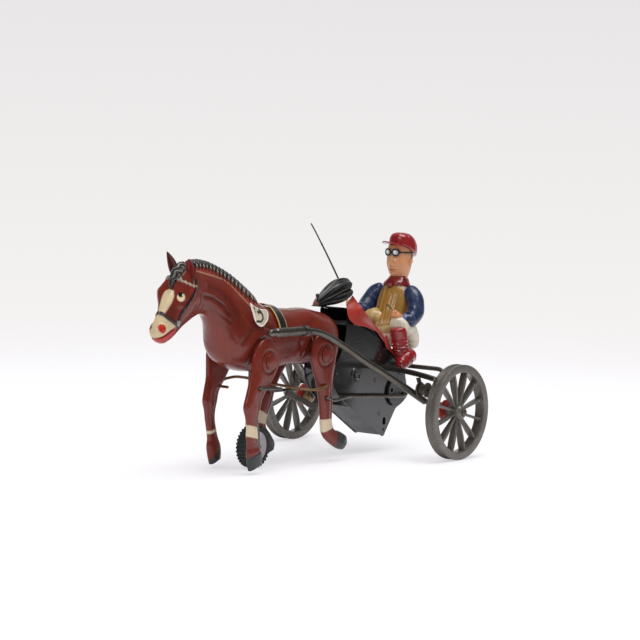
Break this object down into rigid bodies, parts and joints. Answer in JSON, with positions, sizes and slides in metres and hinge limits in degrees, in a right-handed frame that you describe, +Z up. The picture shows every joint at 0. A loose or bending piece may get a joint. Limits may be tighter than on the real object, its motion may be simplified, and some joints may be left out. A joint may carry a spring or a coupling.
{
  "type": "clockwork trotting horse toy",
  "caption": "Clockwork toy of a trotting horse on hinged legs drawing a sulky and driver, with a crank linkage, geared movement and spoked wheels.",
  "frame": {"origin": "on the ground under the middle of the toy's bounding box", "axes": "+X to the horse's left, +Y from the horse's head back to the driver, +Z up"},
  "size_m": [0.1196, 0.213, 0.1217],
  "materials": {
    "horse_paint": "glossy chestnut enamel with worn edges",
    "black_paint": "black enamel",
    "bright_steel": "plated steel, dulled by age",
    "worn_steel": "bronzed steel with rubbed edges",
    "yellow_metal": "brass, lightly tarnished",
    "black_tin": "glossy black lacquer on sheet steel",
    "red_tin": "glossy red lacquer on sheet steel",
    "cap_red": "red enamel",
    "cream_enamel": "cream enamel with a black numeral",
    "tyre_rubber": "moulded black rubber",
    "skin_paint": "flesh enamel",
    "driver_clothes": "blue sleeves, ochre vest, cream breeches and red boots"
  },
  "bodies": {
    "frame": {"arch_axle": "worn_steel", "axle_cup_left": "yellow_metal", "axle_cup_right": "yellow_metal", "bottom_cover": "black_tin", "driver_body": "driver_clothes", "driver_cap": "cap_red", "driver_goggles": "black_paint", "driver_head": "skin_paint", "front_axle": "bright_steel", "front_bar_left": "bright_steel", "front_bar_right": "bright_steel", "front_cover": "black_tin", "front_fork": "worn_steel", "front_leg_pin": "horse_paint", "horse_body": "horse_paint", "mainspring": "bright_steel", "number_plate": "cream_enamel", "pillar_front": "bright_steel", "pillar_low": "bright_steel", "pillar_rear": "bright_steel", "pillar_top": "bright_steel", "rear_leg_pin": "horse_paint", "saddle_band": "black_paint", "seat_shell": "red_tin", "shaft_bracket_left": "worn_steel", "shaft_bracket_right": "worn_steel", "shaft_left": "bright_steel", "shaft_right": "bright_steel", "side_plate_left": "black_tin", "side_plate_right": "black_tin", "tail": "black_paint", "top_cover": "black_tin", "whip": "black_paint"},
    "leg_rear_left": {"leg_rear_left": "horse_paint"},
    "leg_rear_right": {"leg_rear_right": "horse_paint"},
    "leg_front_left": {"leg_front_left": "horse_paint"},
    "leg_front_right": {"leg_front_right": "horse_paint"},
    "trot_link_forward": {"trot_link_forward": "yellow_metal"},
    "trot_link_backward": {"trot_link_backward": "worn_steel"},
    "crank_rod_left": {"crank_rod_left": "bright_steel"},
    "crank_rod_right": {"crank_rod_right": "bright_steel"},
    "wheel_left": {"wheel_left": "worn_steel", "hub_flange_left": "red_tin"},
    "wheel_right": {"wheel_right": "worn_steel", "hub_flange_right": "red_tin"},
    "front_wheel": {"front_wheel_hub": "bright_steel", "front_tyre": "tyre_rubber"},
    "great_wheel": {"great_wheel": "yellow_metal"},
    "click": {"click": "bright_steel"},
    "arbor": {"spring_arbor": "bright_steel", "winding_key": "bright_steel"},
    "second_wheel": {"second_wheel": "yellow_metal"},
    "crank": {"crank_shaft": "bright_steel", "crank_disc_left": "black_tin", "crank_disc_right": "black_tin"},
    "governor": {"governor": "yellow_metal"},
    "stop_lever": {"stop_lever": "worn_steel"}
  },
  "joints": [
    {"name": "leg_rear_left_swing", "type": "hinge", "parent": "frame", "child": "leg_rear_left", "pos_m": [0.015, 0.01081, 0.056], "axis": [-1, 0, 0], "range_deg": [0, 26.89]},
    {"name": "leg_rear_right_swing", "type": "hinge", "parent": "frame", "child": "leg_rear_right", "pos_m": [-0.015, 0.01081, 0.056], "axis": [-1, 0, 0], "range_deg": [-26.89, 0]},
    {"name": "leg_front_left_swing", "type": "hinge", "parent": "frame", "child": "leg_front_left", "pos_m": [0.015, -0.03569, 0.056], "axis": [-1, 0, 0], "range_deg": [-26.89, 0]},
    {"name": "leg_front_right_swing", "type": "hinge", "parent": "frame", "child": "leg_front_right", "pos_m": [-0.015, -0.03569, 0.056], "axis": [-1, 0, 0], "range_deg": [0, 26.89]},
    {"name": "forward_link_pivot", "type": "hinge", "parent": "leg_rear_left", "child": "trot_link_forward", "pos_m": [0.015, 0.01121, 0.0408], "axis": [-1, 0, 0], "range_deg": [-26.89, 0]},
    {"name": "backward_link_pivot", "type": "hinge", "parent": "leg_rear_right", "child": "trot_link_backward", "pos_m": [-0.015, 0.00281, 0.0431], "axis": [-1, 0, 0], "range_deg": [0, 26.89]},
    {"name": "left_rod_pivot", "type": "hinge", "parent": "leg_rear_left", "child": "crank_rod_left", "pos_m": [0.015, 0.01201, 0.0341], "axis": [-1, 0, 0], "range_deg": [-26.89, 0]},
    {"name": "right_rod_pivot", "type": "hinge", "parent": "leg_rear_right", "child": "crank_rod_right", "pos_m": [-0.015, 0.00198, 0.03592], "axis": [-1, 0, 0], "range_deg": [0, 26.89]},
    {"name": "wheel_left_spin", "type": "hinge", "parent": "frame", "child": "wheel_left", "pos_m": [0.054, 0.07631, 0.025], "axis": [-1, 0, 0], "continuous": true},
    {"name": "wheel_right_spin", "type": "hinge", "parent": "frame", "child": "wheel_right", "pos_m": [-0.054, 0.07631, 0.025], "axis": [-1, 0, 0], "continuous": true},
    {"name": "front_wheel_spin", "type": "hinge", "parent": "frame", "child": "front_wheel", "pos_m": [0, -0.02619, 0.0109], "axis": [-1, 0, 0], "continuous": true},
    {"name": "great_wheel_turn", "type": "hinge", "parent": "frame", "child": "great_wheel", "pos_m": [0, 0.04791, 0.0425], "axis": [-1, 0, 0], "continuous": true},
    {"name": "click_pivot", "type": "hinge", "parent": "great_wheel", "child": "click", "pos_m": [0, 0.05591, 0.0481], "axis": [-1, 0, 0], "range_deg": [-20, 0]},
    {"name": "arbor_winding", "type": "hinge", "parent": "frame", "child": "arbor", "pos_m": [0, 0.04791, 0.0425], "axis": [-1, 0, 0], "continuous": true},
    {"name": "second_wheel_turn", "type": "hinge", "parent": "frame", "child": "second_wheel", "pos_m": [0, 0.06501, 0.0386], "axis": [-1, 0, 0], "continuous": true},
    {"name": "crank_turn", "type": "hinge", "parent": "frame", "child": "crank", "pos_m": [0, 0.08331, 0.031], "axis": [-1, 0, 0], "continuous": true},
    {"name": "governor_turn", "type": "hinge", "parent": "frame", "child": "governor", "pos_m": [0, 0.06939, 0.02035], "axis": [-1, 0, 0], "continuous": true},
    {"name": "stop_lever_swing", "type": "hinge", "parent": "frame", "child": "stop_lever", "pos_m": [-0.0115, 0.04291, 0.0296], "axis": [-1, 0, 0], "range_deg": [0, 6]}
  ],
  "couplings": [
    {"joint": "leg_rear_right_swing", "follows": "leg_rear_left_swing", "ratio": -1},
    {"joint": "leg_front_right_swing", "follows": "leg_rear_left_swing", "ratio": 1},
    {"joint": "leg_front_left_swing", "follows": "leg_rear_left_swing", "ratio": -1},
    {"joint": "forward_link_pivot", "follows": "leg_rear_left_swing", "ratio": -1},
    {"joint": "backward_link_pivot", "follows": "leg_rear_left_swing", "ratio": 1},
    {"joint": "left_rod_pivot", "follows": "leg_rear_left_swing", "ratio": -1},
    {"joint": "right_rod_pivot", "follows": "leg_rear_left_swing", "ratio": 1},
    {"joint": "second_wheel_turn", "follows": "great_wheel_turn", "ratio": -3.75},
    {"joint": "crank_turn", "follows": "great_wheel_turn", "ratio": 10.5},
    {"joint": "governor_turn", "follows": "great_wheel_turn", "ratio": 13.125}
  ]
}
